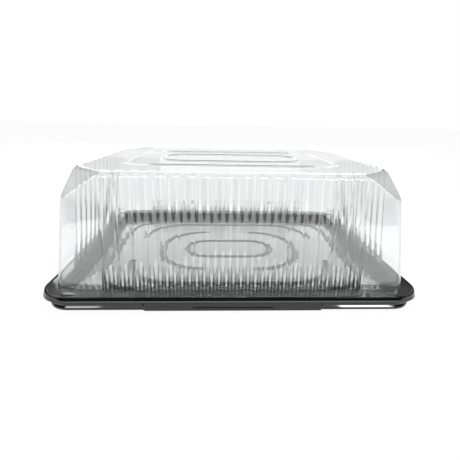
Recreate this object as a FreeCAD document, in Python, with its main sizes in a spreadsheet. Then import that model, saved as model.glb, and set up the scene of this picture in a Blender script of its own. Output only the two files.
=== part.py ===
"""Sheet-cake container: a black formed tray and a clear fluted lid that lifts off it.

Millimetres. The origin is the middle of the surface that the tray stands on, +X runs along the
long side, +Y to the back and +Z up. Both pieces are formed from one sheet each, so every outer
form has an inner form one sheet thickness inside it.
"""
import FreeCAD, Part
import math
import os
import re
import Sketcher

Vector = FreeCAD.Vector

SIZES = {
    # tray
    "rim_length": 373.0,
    "rim_width": 293.0,
    "rim_corner": 28.5,
    "rim_top": 16.5,
    "rim_band": 4.6,
    "rim_overhang": 6.3,
    "rim_flare": 1.8,
    "bead_width": 1.4,
    "seat_depth": 1.1,
    "foot_inset": 6.8,
    "foot_corner": 26.0,
    "tray_sheet": 0.7,
    "channel_width": 15.7,
    "platform_top": 5.2,
    "platform_corner": 29.0,
    "panel_length": 174.0,
    "panel_proud": 2.4,
    "slot_length": 80.0,
    "slot_height": 3.2,
    "slot_level": 3.8,
    "slot_depth": 0.9,
    # rings pressed into the tray's floor
    "ring_width": 5.5,
    "ring_depth": 1.3,
    "inner_ring_length": 112.0,
    "inner_ring_width": 54.0,
    "second_ring_straight": 17.0,
    "third_ring_inset_x": 43.0,
    "third_ring_inset_y": 26.0,
    "third_ring_corner": 57.0,
    "edge_ring_inset": 15.0,
    "edge_ring_corner": 43.0,
    # lid
    "flange_clearance": 0.4,
    "seat_clearance": 0.2,
    "lid_sheet": 0.5,
    "lid_inset": 13.5,
    "lid_inset_ends": 17.5,
    "lid_top_level": 127.5,
    "lid_draft_inset": 14.0,
    "lid_foot_corner": 16.0,
    "lid_shoulder_corner": 10.0,
    "shoulder_drop": 20.3,
    "corner_cut": 35.0,
    "brow_drop": 5.0,
    "brow_inset": 4.5,
    # flutes of the lid's walls
    "flute_pitch": 14.19,
    "flutes_long": 18,
    "flutes_short": 11,
    "flute_crest": 3.55,
    "flute_base": 10.65,
    "flute_depth": 2.6,
    "flute_root": 0.1,
    "flute_core": 12.0,
    # beads on the lid's top and snaps on its flange
    "top_bead_width": 6.0,
    "top_bead_height": 1.4,
    "top_inner_length": 168.0,
    "top_inner_width": 60.0,
    "top_outer_inset_x": 41.0,
    "top_outer_inset_y": 52.0,
    "top_outer_corner": 24.0,
    "top_bead_straight": 168.0,
    "snap_length": 14.0,
    "snap_width": 4.6,
    "snap_height": 1.1,
    "snap_from_corner": 30.0,
    "snap_from_edge": 8.0,
    # how far a cut runs past the face that it opens
    "cut_past": 2.0,
}

doc = FreeCAD.newDocument("CakeContainer")
sheet = doc.addObject("Spreadsheet::Sheet", "Sizes")
for row, (alias, number) in enumerate(SIZES.items(), start=1):
    sheet.set("A%d" % row, alias)
    sheet.set("B%d" % row, str(number))
    sheet.setAlias("B%d" % row, alias)
doc.recompute()


def expand(text):
    """Return an expression on the sheet from one written with bare size names."""
    return re.sub("[a-z]+(?:_[a-z]+)+", lambda match: "Sizes." + match.group(), text)


def value(text):
    """Return the number that an expression on the sheet comes to."""
    result = sheet.evalExpression(expand(text))
    return float(getattr(result, "Value", result))


def bind(thing, path, text):
    """Tie a property to an expression on the sheet."""
    thing.setExpression(path, expand(text))


def new_body(name):
    """Add an empty body."""
    return doc.addObject("PartDesign::Body", name)


def origin_item(body, role):
    """Return a body's own origin plane or axis by its role."""
    for item in body.Origin.OriginFeatures:
        if item.Role == role:
            return item
    raise ValueError(role)


def new_sketch(body, name, role, offset):
    """Add a sketch on one of the body's origin planes, moved along its normal."""
    sketch = body.newObject("Sketcher::SketchObject", name)
    sketch.AttachmentSupport = [(origin_item(body, role), "")]
    sketch.MapMode = "FlatFace"
    bind(sketch, "AttachmentOffset.Base.z", offset)
    return sketch


def fix_point(sketch, geometry, end, across, up):
    """Hold one end of an edge at a distance across and up from the sketch's origin."""
    for kind, text in (("DistanceX", across), ("DistanceY", up)):
        number = sketch.addConstraint(Sketcher.Constraint(kind, -1, 1, geometry, end, value(text)))
        bind(sketch, "Constraints[%d]" % number, text)


def draw_polygon(sketch, points):
    """Draw a closed polygon whose corners are pairs of expressions."""
    places = [Vector(value(across), value(up), 0) for across, up in points]
    edges = []
    for here, there in zip(places, places[1:] + places[:1]):
        edges.append(sketch.addGeometry(Part.LineSegment(here, there), False))
    for edge, following in zip(edges, edges[1:] + edges[:1]):
        sketch.addConstraint(Sketcher.Constraint("Coincident", edge, 2, following, 1))
    for edge, (across, up) in zip(edges, points):
        fix_point(sketch, edge, 1, across, up)


def draw_rounded(sketch, half_x, half_y, corner):
    """Draw a rounded rectangle about the origin from its half sizes and corner radius."""
    a, b, r = value(half_x), value(half_y), value(corner)
    corners = ((a - r, b - r, 0), (r - a, b - r, 1), (r - a, r - b, 2), (a - r, r - b, 3))
    signs = (("", ""), ("-", ""), ("-", "-"), ("", "-"))
    arcs = []
    for x, y, quarter in corners:
        circle = Part.Circle(Vector(x, y, 0), Vector(0, 0, 1), r)
        start = quarter * math.pi / 2
        arcs.append(sketch.addGeometry(Part.ArcOfCircle(circle, start, start + math.pi / 2), False))
    for number, arc in enumerate(arcs):
        following = arcs[(number + 1) % 4]
        ends = sketch.getPoint(arc, 2), sketch.getPoint(following, 1)
        line = sketch.addGeometry(Part.LineSegment(*ends), False)
        sketch.addConstraint(Sketcher.Constraint("Tangent", arc, 2, line, 1))
        sketch.addConstraint(Sketcher.Constraint("Tangent", line, 2, following, 1))
        if number < 3:
            direction = "Vertical" if number % 2 else "Horizontal"
            sketch.addConstraint(Sketcher.Constraint(direction, line))
    for arc, (sign_x, sign_y) in zip(arcs, signs):
        across = "%s(%s - (%s))" % (sign_x, half_x, corner)
        up = "%s(%s - (%s))" % (sign_y, half_y, corner)
        fix_point(sketch, arc, 3, across, up)
    radius = sketch.addConstraint(Sketcher.Constraint("Radius", arcs[0], r))
    bind(sketch, "Constraints[%d]" % radius, corner)


def rounded_sketch(body, name, half_x, half_y, corner, level):
    """Add a level sketch of a rounded rectangle."""
    sketch = new_sketch(body, name, "XY_Plane", level)
    draw_rounded(sketch, half_x, half_y, corner)
    return sketch


def loft(body, name, sections, additive=True):
    """Join sections with straight faces, as added or taken material."""
    kind = "PartDesign::AdditiveLoft" if additive else "PartDesign::SubtractiveLoft"
    feature = body.newObject(kind, name)
    feature.Profile = sections[0]
    feature.Sections = sections[1:]
    feature.Ruled = True
    return feature


def pad(body, name, sketch, length):
    """Raise a sketch by a length."""
    feature = body.newObject("PartDesign::Pad", name)
    feature.Profile = sketch
    bind(feature, "Length", length)
    return feature


def pocket(body, name, sketch, length, upward=False):
    """Cut a sketch downward, or upward, by a length and make sure that it took material away."""
    doc.recompute()
    before = body.Shape.Volume
    feature = body.newObject("PartDesign::Pocket", name)
    feature.Profile = sketch
    bind(feature, "Length", length)
    feature.Reversed = upward
    doc.recompute()
    if body.Shape.Volume >= before:
        raise RuntimeError(name + " cuts nothing")
    return feature


def row(body, name, original, role, length, count):
    """Repeat a feature in a row along one of the body's axes."""
    doc.recompute()
    feature = body.newObject("PartDesign::LinearPattern", name)
    feature.Originals = [original]
    feature.Direction = (origin_item(body, role), [""])
    bind(feature, "Length", length)
    bind(feature, "Occurrences", count)
    body.Tip = feature
    doc.recompute()
    return feature


def path_of(points, radius):
    """Return a wire through points in a plane, with every inner corner rounded."""
    edges = []
    last = points[0]
    for before, corner, after in zip(points, points[1:], points[2:]):
        back = (before - corner).normalize()
        on = (after - corner).normalize()
        start, end = corner + back * radius, corner + on * radius
        middle = corner + (back + on) * radius * (1 - math.sqrt(0.5))
        if (start - last).Length > 1e-6:
            edges.append(Part.LineSegment(last, start).toShape())
        edges.append(Part.Arc(start, middle, end).toShape())
        last = end
    if (points[-1] - last).Length > 1e-6:
        edges.append(Part.LineSegment(last, points[-1]).toShape())
    return Part.Wire(edges)


def closed_ring(half_x, half_y, radius):
    """Return a closed rounded ring, begun in the middle of its front side."""
    corners = [(0, -1), (1, -1), (1, 1), (-1, 1), (-1, -1), (0, -1)]
    return [path_of([Vector(x * half_x, y * half_y, 0) for x, y in corners], radius)]


def end_arcs(half_x, half_y, radius):
    """Return the two ends of a ring that is open along the straight part of its front and back."""
    pieces = []
    for side in (-1, 1):
        corners = [(half_x - radius, -half_y), (half_x, -half_y), (half_x, half_y), (half_x - radius, half_y)]
        pieces.append(path_of([Vector(side * x, y, 0) for x, y in corners], radius))
    return pieces


def long_arcs(half_x, half_y, radius):
    """Return the front and back of a ring that is open along the straight part of its two ends."""
    pieces = []
    for side in (-1, 1):
        corners = [(-half_x, half_y - radius), (-half_x, half_y), (half_x, half_y), (half_x, half_y - radius)]
        pieces.append(path_of([Vector(x, side * y, 0) for x, y in corners], radius))
    return pieces


def straight(x, y, length):
    """Return a straight centre line along X."""
    return Part.Wire([Part.LineSegment(Vector(x - length / 2, y, 0), Vector(x + length / 2, y, 0)).toShape()])


def strip(wire, width):
    """Return the face that a bead of a width covers along its centre line."""
    if wire.isClosed():
        outer = Part.Face(wire.makeOffset2D(width / 2))
        inner = Part.Face(wire.makeOffset2D(-width / 2))
        return outer.cut(inner).Faces[0]
    if len(wire.Edges) == 1:
        outline = closed_ring((wire.Length + width) / 2, width / 2, width / 2)[0]
        outline.translate(wire.BoundBox.Center)
        return Part.Face(outline)
    return Part.Face(wire.makeOffset2D(width / 2, 0, False, False))


def beads(name, wires, width, bottom, top):
    """Add one feature of upright beads along centre lines, round at their open ends."""
    solids = []
    for wire in wires:
        face = strip(wire, width)
        face.translate(Vector(0, 0, bottom))
        solids.append(face.extrude(Vector(0, 0, top - bottom)))
    feature = doc.addObject("Part::Feature", name)
    feature.Shape = Part.makeCompound(solids)
    return feature


def joined(name, pieces):
    """Add one feature that joins several."""
    feature = doc.addObject("Part::MultiFuse", name)
    feature.Shapes = pieces
    return feature


def less(name, base, tool):
    """Add a feature that takes one feature out of another."""
    feature = doc.addObject("Part::Cut", name)
    feature.Base = base
    feature.Tool = tool
    return feature


def formed(name, filled, hollow):
    """Add the sheet that is left when one set of solids is taken out of another."""
    base, *added = [solid for feature in filled for solid in feature.Shape.Solids]
    inside, *more = [solid for feature in hollow for solid in feature.Shape.Solids]
    feature = doc.addObject("Part::Feature", name)
    feature.Shape = base.fuse(added).cut(inside.fuse(more)).Solids[0]
    return feature


RIM_X, RIM_Y = "rim_length / 2", "rim_width / 2"
BRIM_X, BRIM_Y = "(rim_length / 2 - rim_flare)", "(rim_width / 2 - rim_flare)"
BRIM_CORNER = "(rim_corner - rim_flare)"
FOOT_X, FOOT_Y = "(rim_length / 2 - foot_inset)", "(rim_width / 2 - foot_inset)"
PLATFORM_X = "(rim_length / 2 - foot_inset - channel_width)"
PLATFORM_Y = "(rim_width / 2 - foot_inset - channel_width)"
BAND_LEVEL = "(rim_top - rim_band)"
SEAT_LEVEL = "(rim_top - seat_depth)"
LID_LEVEL = "(rim_top - seat_depth + seat_clearance)"


def make_tray():
    """Return the tray: a pan with a raised, ring-pressed floor and a turned-down rim."""
    body = new_body("TrayPan")
    wall_x, wall_y = "(%s - rim_overhang)" % RIM_X, "(%s - rim_overhang)" % RIM_Y
    wall_corner = "(rim_corner - rim_overhang)"
    rim = rounded_sketch(body, "RimOutline", RIM_X, RIM_Y, "rim_corner", BAND_LEVEL)
    brim = rounded_sketch(body, "BrimOutline", BRIM_X, BRIM_Y, BRIM_CORNER, "rim_top")
    loft(body, "RimBand", [rim, brim])
    lining = "rim_flare * (rim_band - seat_depth - tray_sheet) / rim_band + tray_sheet"
    below = rounded_sketch(body, "RimHollowFoot", RIM_X + " - tray_sheet", RIM_Y + " - tray_sheet",
                           "rim_corner - tray_sheet", BAND_LEVEL)
    above = rounded_sketch(body, "RimHollowTop", "%s - (%s)" % (RIM_X, lining), "%s - (%s)" % (RIM_Y, lining),
                           "rim_corner - (%s)" % lining, SEAT_LEVEL + " - tray_sheet")
    loft(body, "RimHollow", [below, above], additive=False)
    foot = rounded_sketch(body, "FootOutline", FOOT_X, FOOT_Y, "foot_corner", "0")
    neck = rounded_sketch(body, "NeckOutline", wall_x, wall_y, wall_corner, SEAT_LEVEL)
    loft(body, "PanOutside", [foot, neck])
    for side, name in (("-", "Front"), ("", "Back")):
        panel = new_sketch(body, name + "PanelOutline", "XY_Plane", "0")
        draw_polygon(panel, [
            ("-panel_length / 2", side + "(%s - foot_corner / 2)" % FOOT_Y),
            ("panel_length / 2", side + "(%s - foot_corner / 2)" % FOOT_Y),
            ("panel_length / 2 - panel_proud", side + "(%s + panel_proud)" % FOOT_Y),
            ("panel_proud - panel_length / 2", side + "(%s + panel_proud)" % FOOT_Y),
        ])
        pad(body, name + "Panel", panel, BAND_LEVEL)
    seat = rounded_sketch(body, "SeatOutline", BRIM_X + " - bead_width", BRIM_Y + " - bead_width",
                          BRIM_CORNER + " - bead_width", "rim_top")
    pocket(body, "FlangeSeat", seat, "seat_depth")
    floor = rounded_sketch(body, "PanFloor", FOOT_X + " - tray_sheet", FOOT_Y + " - tray_sheet",
                           "foot_corner - tray_sheet", "tray_sheet")
    mouth = rounded_sketch(body, "PanMouth", wall_x + " - tray_sheet", wall_y + " - tray_sheet",
                           wall_corner + " - tray_sheet", SEAT_LEVEL)
    loft(body, "PanInside", [floor, mouth], additive=False)
    for side, name in (("-", "Front"), ("", "Back")):
        hollow = new_sketch(body, name + "PanelHollow", "XY_Plane", "tray_sheet")
        reach = "%s + panel_proud - slot_depth - tray_sheet" % FOOT_Y
        draw_polygon(hollow, [
            ("tray_sheet - panel_length / 2", side + "(%s - channel_width / 2)" % FOOT_Y),
            ("panel_length / 2 - tray_sheet", side + "(%s - channel_width / 2)" % FOOT_Y),
            ("panel_length / 2 - panel_proud - tray_sheet", side + "(%s)" % reach),
            ("panel_proud + tray_sheet - panel_length / 2", side + "(%s)" % reach),
        ])
        pocket(body, name + "PanelInside", hollow, BAND_LEVEL + " - tray_sheet", upward=True)
        offset = "%s + panel_proud" % FOOT_Y if side else "-(%s + panel_proud)" % FOOT_Y
        slot = new_sketch(body, name + "SlotOutline", "XZ_Plane", offset)
        draw_polygon(slot, [
            ("-slot_length / 2", "slot_level"), ("slot_length / 2", "slot_level"),
            ("slot_length / 2 - slot_height", "slot_level + slot_height"),
            ("slot_height - slot_length / 2", "slot_level + slot_height"),
        ])
        pocket(body, name + "Slot", slot, "slot_depth", upward=not side)
    platform = rounded_sketch(body, "PlatformOutline", PLATFORM_X, PLATFORM_Y, "platform_corner", "0")
    pad(body, "Platform", platform, "platform_top")
    hollow = rounded_sketch(body, "PlatformHollow", PLATFORM_X + " - tray_sheet",
                            PLATFORM_Y + " - tray_sheet", "platform_corner - tray_sheet", "0")
    pocket(body, "Underside", hollow, "platform_top - tray_sheet", upward=True)

    platform_x, platform_y = value(PLATFORM_X), value(PLATFORM_Y)
    first_x, first_y = value("inner_ring_length / 2"), value("inner_ring_width / 2")
    third_x = platform_x - value("third_ring_inset_x")
    third_y = platform_y - value("third_ring_inset_y")
    second_x, second_y = (first_x + third_x) / 2, (first_y + third_y) / 2
    edge_inset = value("edge_ring_inset")
    width, sheet_gauge = value("ring_width"), value("tray_sheet")
    rings = closed_ring(first_x, first_y, first_y - sheet_gauge)
    rings += end_arcs(second_x, second_y, second_y - value("second_ring_straight / 2"))
    rings += long_arcs(third_x, third_y, value("third_ring_corner"))
    rings += end_arcs(platform_x - edge_inset, platform_y - edge_inset, value("edge_ring_corner"))
    top, depth = value("platform_top"), value("ring_depth")
    under = beads("RingUndersides", rings, width + 2 * sheet_gauge, top - depth - sheet_gauge,
                  top - sheet_gauge / 2)
    groove = beads("RingGrooves", rings, width, top - depth, top + sheet_gauge)
    return less("base_tray", joined("TrayWithRings", [body, under]), groove)


LID_X, LID_Y = "(%s - lid_inset)" % RIM_X, "(%s - lid_inset_ends)" % RIM_Y
LID_HEIGHT = "(lid_top_level - %s)" % LID_LEVEL


def lid_wall(half_foot, drop):
    """Give the half size of the lid's drafted wall at a drop below its top."""
    return "(%s - lid_draft_inset * (1 - (%s) / %s))" % (half_foot, drop, LID_HEIGHT)


def slant(start, end, beyond):
    """Return a right triangle whose long side is a line run on past both of its ends."""
    low = tuple("(%s) + ((%s) - (%s)) * %s" % (b, b, a, beyond) for a, b in zip(start, end))
    high = tuple("(%s) - ((%s) - (%s)) * %s" % (a, b, a, beyond) for a, b in zip(start, end))
    return [high, low, (low[0], high[1])]


def cut_corners(body, gauge):
    """Slice off the four top corners of the lid with planes that lean inwards."""
    lean = "sqrt(2) * (lid_draft_inset * shoulder_drop / %s) - lid_shoulder_corner / sqrt(2)" % LID_HEIGHT
    step = "sqrt(2) * %s" % gauge
    start = ("-corner_cut / sqrt(2) - %s" % step, "0")
    end = ("%s - %s" % (lean, step), "-shoulder_drop")
    corners = (("", "-", 45), ("-", "-", 135), ("-", "", 225), ("", "", 315))
    for number, (x, y, angle) in enumerate(corners):
        outline = new_sketch(body, "CornerCut%d" % number, "XZ_Plane", "%s(%s)" % (y, lid_wall(LID_Y, "0")))
        bind(outline, "AttachmentOffset.Base.x", "%s(%s)" % (x, lid_wall(LID_X, "0")))
        bind(outline, "AttachmentOffset.Base.y", "lid_top_level")
        outline.AttachmentOffset = FreeCAD.Placement(
            outline.AttachmentOffset.Base, FreeCAD.Rotation(Vector(0, 1, 0), angle))
        draw_polygon(outline, slant(start, end, "1"))
        corner = pocket(body, "Corner%d" % number, outline, "rim_width")
        corner.Midplane = True


def bevel_brow(body, gauge):
    """Bevel the four top edges of the lid, flutes and all."""
    step = "sqrt(2) * %s" % gauge
    sides = (("Long", "YZ_Plane", LID_Y, "rim_length"), ("Short", "XZ_Plane", LID_X, "rim_width"))
    for name, plane, half_foot, span in sides:
        outline = new_sketch(body, name + "BrowOutline", plane, "0")
        high, low = lid_wall(half_foot, "0"), lid_wall(half_foot, "brow_drop")
        for side in ("", "-"):
            start = ("%s(%s - brow_inset - %s)" % (side, high, step), "lid_top_level")
            end = ("%s(%s - %s)" % (side, low, step), "lid_top_level - brow_drop")
            draw_polygon(outline, slant(start, end, "2"))
        brow = pocket(body, name + "Brow", outline, span)
        brow.Midplane = True


def flute_row(body, name, gauge, below, along, side):
    """Add one wall's row of flutes: trapezoid ribs that lean with the drafted wall."""
    half_foot, count, turned = LID_Y, "flutes_long", False
    if along == "Y":
        half_foot, count, turned = LID_X, "flutes_short", True
    first = "(%s - 1) * flute_pitch / 2" % count
    root = "%s(%s - flute_core)" % (side, half_foot)
    skin = "%s(%s - flute_root - %s)" % (side, half_foot, gauge)
    crest = "%s(%s + flute_depth - %s)" % (side, half_foot, gauge)
    points = [("-flute_base / 2", root), ("flute_base / 2", root), ("flute_base / 2", skin),
              ("flute_crest / 2", crest), ("-flute_crest / 2", crest), ("-flute_base / 2", skin)]
    places = [("%s - %s" % (across, first), out) for across, out in points]
    if turned:
        places = [(out, across) for across, out in places]
    outline = new_sketch(body, name + "Outline", "XY_Plane", "%s - %s" % (LID_LEVEL, below))
    draw_polygon(outline, places)
    flute = pad(body, name + "Flute", outline, "%s + %s - %s" % (LID_HEIGHT, below, gauge))
    flute.UseCustomVector = True
    flute.AlongSketchNormal = True
    inward = "-1 * %s1 * lid_draft_inset" % side
    bind(flute, "Direction.x", inward if turned else "0")
    bind(flute, "Direction.y", "0" if turned else inward)
    bind(flute, "Direction.z", LID_HEIGHT)
    row(body, name + "Row", flute, along + "_Axis", "flute_pitch * (%s - 1)" % count, count)


def lid_solid(name, gauge, below):
    """Return the filled form of the lid, or the form one gauge inside it, with all its flutes."""
    body = new_body(name)
    wedge = body.newObject("PartDesign::AdditiveWedge", name + "Walls")
    wedge.Placement = FreeCAD.Placement(Vector(0, 0, 0), FreeCAD.Rotation(Vector(1, 0, 0), 90))
    for axis, half_foot in (("X", LID_X), ("Z", LID_Y)):
        bottom = "(%s + lid_draft_inset * (%s) / %s - %s)" % (half_foot, below, LID_HEIGHT, gauge)
        top = "(%s - %s)" % (lid_wall(half_foot, gauge), gauge)
        bind(wedge, axis + "min", "-" + bottom)
        bind(wedge, axis + "max", bottom)
        bind(wedge, axis + "2min", "-" + top)
        bind(wedge, axis + "2max", top)
    bind(wedge, "Ymin", "%s - %s" % (LID_LEVEL, below))
    bind(wedge, "Ymax", "lid_top_level - %s" % gauge)
    doc.recompute()
    rounded = body.newObject("PartDesign::Fillet", name + "Corners")
    edges = [number for number, edge in enumerate(wedge.Shape.Edges, start=1) if edge.BoundBox.ZLength > 1]
    rounded.Base = (wedge, ["Edge%d" % number for number in edges])
    bind(rounded, "Radius", "lid_foot_corner - %s" % gauge)
    cut_corners(body, gauge)
    for wall, along, side in (("Front", "X", "-"), ("Back", "X", ""), ("Left", "Y", "-"), ("Right", "Y", "")):
        flute_row(body, name + wall, gauge, below, along, side)
    bevel_brow(body, gauge)
    return body


def make_lid():
    """Return the lid: a drafted, fluted box with cut top corners, beads and a flat flange."""
    body = lid_solid("LidOutside", "0", "0")
    flange = rounded_sketch(body, "FlangeOutline", BRIM_X + " - bead_width - flange_clearance",
                            BRIM_Y + " - bead_width - flange_clearance",
                            BRIM_CORNER + " - bead_width - flange_clearance", LID_LEVEL)
    pad(body, "Flange", flange, "lid_sheet")
    hollow = lid_solid("LidInside", "lid_sheet", "cut_past")

    gauge = value("lid_sheet")
    outer_x = value("%s - lid_draft_inset - top_outer_inset_x" % LID_X)
    outer_y = value("%s - lid_draft_inset - top_outer_inset_y" % LID_Y)
    inner_x, inner_y = value("top_inner_length / 2"), value("top_inner_width / 2")
    wires = closed_ring(inner_x, inner_y, inner_y - gauge)
    wires += end_arcs(outer_x, outer_y, value("top_outer_corner"))
    wires += [straight(0, side * outer_y, value("top_bead_straight")) for side in (-1, 1)]
    width, level, rise = value("top_bead_width"), value("lid_top_level"), value("top_bead_height")
    raised = beads("TopBeads", wires, width, level - gauge / 2, level + rise)
    sunk = beads("TopBeadHollows", wires, width - 2 * gauge, level - 2 * gauge, level + rise - gauge)

    snap_x = value(RIM_X + " - snap_from_corner")
    snap_y = value(RIM_Y + " - snap_from_edge")
    places = [(x, y) for x in (-snap_x, snap_x) for y in (-snap_y, snap_y)]
    snaps = [straight(x, y, value("snap_length - snap_width")) for x, y in places]
    seat, snap_width, snap_rise = value(LID_LEVEL), value("snap_width"), value("snap_height")
    bumps = beads("FlangeSnaps", snaps, snap_width, seat, seat + gauge + snap_rise)
    dimples = beads("FlangeSnapHollows", snaps, snap_width - 2 * gauge, seat - gauge, seat + snap_rise)
    doc.recompute()
    return formed("dome_lid", [body, raised, bumps], [hollow, sunk, dimples])


def main():
    """Build both pieces, check them and write one file for each."""
    pieces = [make_tray(), make_lid()]
    doc.recompute()
    for item in doc.Objects:
        if "Invalid" in item.State or "Error" in item.State:
            raise RuntimeError("failed: " + item.Name)
    os.makedirs("parts", exist_ok=True)
    for piece in pieces:
        shape = piece.Shape
        if shape.isNull() or not shape.isValid() or len(shape.Solids) != 1:
            raise RuntimeError("%s isn't one valid solid" % piece.Name)
        print(piece.Name, "volume %.0f mm3" % shape.Volume, "faces %d" % len(shape.Faces))
        shape.exportStep("parts/%s.step" % piece.Name)


main()
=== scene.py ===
"""Sheet-cake container: a black formed tray and a clear fluted lid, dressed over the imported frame."""
import logging
import math
from dataclasses import dataclass, replace
from enum import Enum
from typing import Callable, Union

import bmesh
import bpy
from mathutils import Matrix, Vector


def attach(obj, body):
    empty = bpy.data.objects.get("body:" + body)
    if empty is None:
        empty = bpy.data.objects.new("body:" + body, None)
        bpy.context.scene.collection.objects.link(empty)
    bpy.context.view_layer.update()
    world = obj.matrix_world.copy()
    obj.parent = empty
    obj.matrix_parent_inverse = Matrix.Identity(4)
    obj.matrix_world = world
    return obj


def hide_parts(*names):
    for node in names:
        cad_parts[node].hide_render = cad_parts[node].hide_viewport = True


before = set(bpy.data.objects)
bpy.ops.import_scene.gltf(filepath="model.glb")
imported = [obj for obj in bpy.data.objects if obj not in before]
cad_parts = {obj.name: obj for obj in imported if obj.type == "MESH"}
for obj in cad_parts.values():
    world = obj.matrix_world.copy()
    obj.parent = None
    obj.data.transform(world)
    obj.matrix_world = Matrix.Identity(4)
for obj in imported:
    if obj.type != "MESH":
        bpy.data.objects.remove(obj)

LOG = logging.getLogger("cake_container")
Mesh = bmesh.types.BMesh
Vert = bmesh.types.BMVert
Edge = bmesh.types.BMEdge
Face = bmesh.types.BMFace
Element = Union[Vert, Edge, Face]
Plane = tuple[Vector, Vector]
Section = list[tuple[float, float]]
Triple = tuple[float, float, float]
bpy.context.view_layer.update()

# Sheets are drawn in millimetres, and so is the play when places are compared and in a cut.
MM = 0.001
NEAR = 0.01
CUT_REACH = 1e-4
UP = Vector((0.0, 0.0, 1.0))
AHEAD = Vector((1.0, 0.0, 0.0))
HANDS = (-1.0, 1.0)
CORNERS = [(x, y) for x in HANDS for y in HANDS]

# Segments in a quarter turn of a bead or groove, of a rim and of a snap.
LINE_STEPS = 10
RIM_STEPS = 16
SNAP_STEPS = 6

# Places of the second and third sheet among a piece's materials.
FOLD_SHEET = RING_SHEET = 1
FLANGE_SHEET = 2

FOLD_SEGMENTS = 2
FLAT_WEIGHT = 75
WAVER_DEPTH = 0.4
PHOTO_PIXELS = 460.0

# Sockets of a colour mix node: the factor and two colours going in, the colour coming out.
MIX_FACTOR, MIX_LOW, MIX_HIGH, MIX_COLOUR = 0, 6, 7, 2


class Side(Enum):
    """A wall of the lid or tray, as the way it faces."""

    FRONT = (0.0, -1.0)
    BACK = (0.0, 1.0)
    LEFT = (-1.0, 0.0)
    RIGHT = (1.0, 0.0)

    @property
    def out(self) -> Vector:
        """The level direction that this wall faces."""
        return Vector((self.value[0], self.value[1], 0.0))

    @property
    def along(self) -> Vector:
        """The level direction in which this wall runs."""
        return Vector((abs(self.value[1]), abs(self.value[0]), 0.0))


class Turn(Enum):
    """How a flag hangs: across the front or back, along a side or level overhead."""

    ACROSS = (90.0, 0.0)
    ALONG = (90.0, 90.0)
    LEVEL = (0.0, 0.0)

    @property
    def matrix(self) -> Matrix:
        """The turn of a flag that was made level, with its width along X."""
        tip, swing = (math.radians(angle) for angle in self.value)
        return Matrix.Rotation(swing, 3, "Z") @ Matrix.Rotation(tip, 3, "X")


class Outline(Enum):
    """The outline of a soft lamp."""

    RECTANGLE = "RECTANGLE"
    ELLIPSE = "ELLIPSE"


class Form(Enum):
    """The left half of a bead's or groove's cross-section, in shares of half its width and of its height."""

    SOFT = ((-1.0, 0.0), (-0.78, 0.45), (-0.5, 0.9))
    FLAT = ((-1.0, 0.0), (-0.87, 0.5), (-0.72, 1.0))
    ROUND = ((-1.0, 0.0), (-0.88, 0.16), (-0.6, 0.55), (-0.3, 0.84), (-0.1, 0.96))

    def section(self, width: float, height: float) -> Section:
        """Give the whole cross-section at a size.

        Args:
            width: Full width.
            height: Height of the middle, negative for a groove.

        Returns:
            Offsets and heights from left to right.
        """
        right = [(-across, rise) for across, rise in reversed(self.value)]
        shape = [*self.value, (0.0, 1.0), *right]
        return [(across * width / 2.0, rise * height) for across, rise in shape]


@dataclass(frozen=True)
class Bend:
    """A straight run of a formed line, and the turn to the left after it, in degrees."""

    run: float
    radius: float = 0.0
    angle: float = 0.0


def edges_where(bm: Mesh, test: Callable[[Vector, Vector], bool]) -> list[Edge]:
    """Give the edges of a mesh whose two ends pass a test."""
    return [edge for edge in bm.edges if test(edge.verts[0].co, edge.verts[1].co)]


def score(bm: Mesh, test: Callable[[Vector], bool], planes: list[Plane]) -> None:
    """Score some faces with planes, keeping both halves.

    Args:
        bm: The mesh to cut.
        test: Says whether a face with this centre is cut.
        planes: A point and a normal of each plane.
    """
    faces = [face for face in bm.faces if test(face.calc_center_median())]
    edges = {edge for face in faces for edge in face.edges}
    verts = {vert for face in faces for vert in face.verts}
    geom: list[Element] = [*verts, *edges, *faces]
    for point, normal in planes:
        cut = bmesh.ops.bisect_plane(bm, geom=geom, dist=CUT_REACH, plane_co=point, plane_no=normal)
        geom = cut["geom"]


def slice_off(bm: Mesh, point: Vector, normal: Vector) -> None:
    """Cut away what lies in front of a plane and close the cut with one face.

    Args:
        bm: The mesh to cut.
        point: A point on the plane.
        normal: The plane's normal, towards what goes.
    """
    everything = [*bm.verts, *bm.edges, *bm.faces]
    cut = bmesh.ops.bisect_plane(
        bm, geom=everything, dist=CUT_REACH, plane_co=point, plane_no=normal, clear_outer=True
    )
    edges = [item for item in cut["geom_cut"] if isinstance(item, Edge)]
    bmesh.ops.contextual_create(bm, geom=edges)


def bevel(bm: Mesh, edges: list[Edge], offset: float, segments: int) -> None:
    """Take edges of a mesh back to a strip.

    Args:
        bm: The mesh.
        edges: The edges to take back.
        offset: How far the strip reaches to both sides.
        segments: Faces across the strip: one makes it flat, more make it round.
    """
    bmesh.ops.bevel(
        bm, geom=edges, offset=offset, offset_type="OFFSET", segments=segments,
        profile=0.5, affect="EDGES", material=-1,
    )


def open_edges(bm: Mesh, level: float) -> list[Edge]:
    """Give the edges at a level that only one face uses."""
    edges = [edge for edge in bm.edges if len(edge.link_faces) < 2]
    return [edge for edge in edges if all(abs(vert.co.z - level) < NEAR for vert in edge.verts)]


def fill_between(bm: Mesh, edges: list[Edge]) -> None:
    """Fill the flat sheet between closed loops of edges."""
    bmesh.ops.triangle_fill(bm, use_beauty=True, use_dissolve=False, edges=edges, normal=UP)


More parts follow.
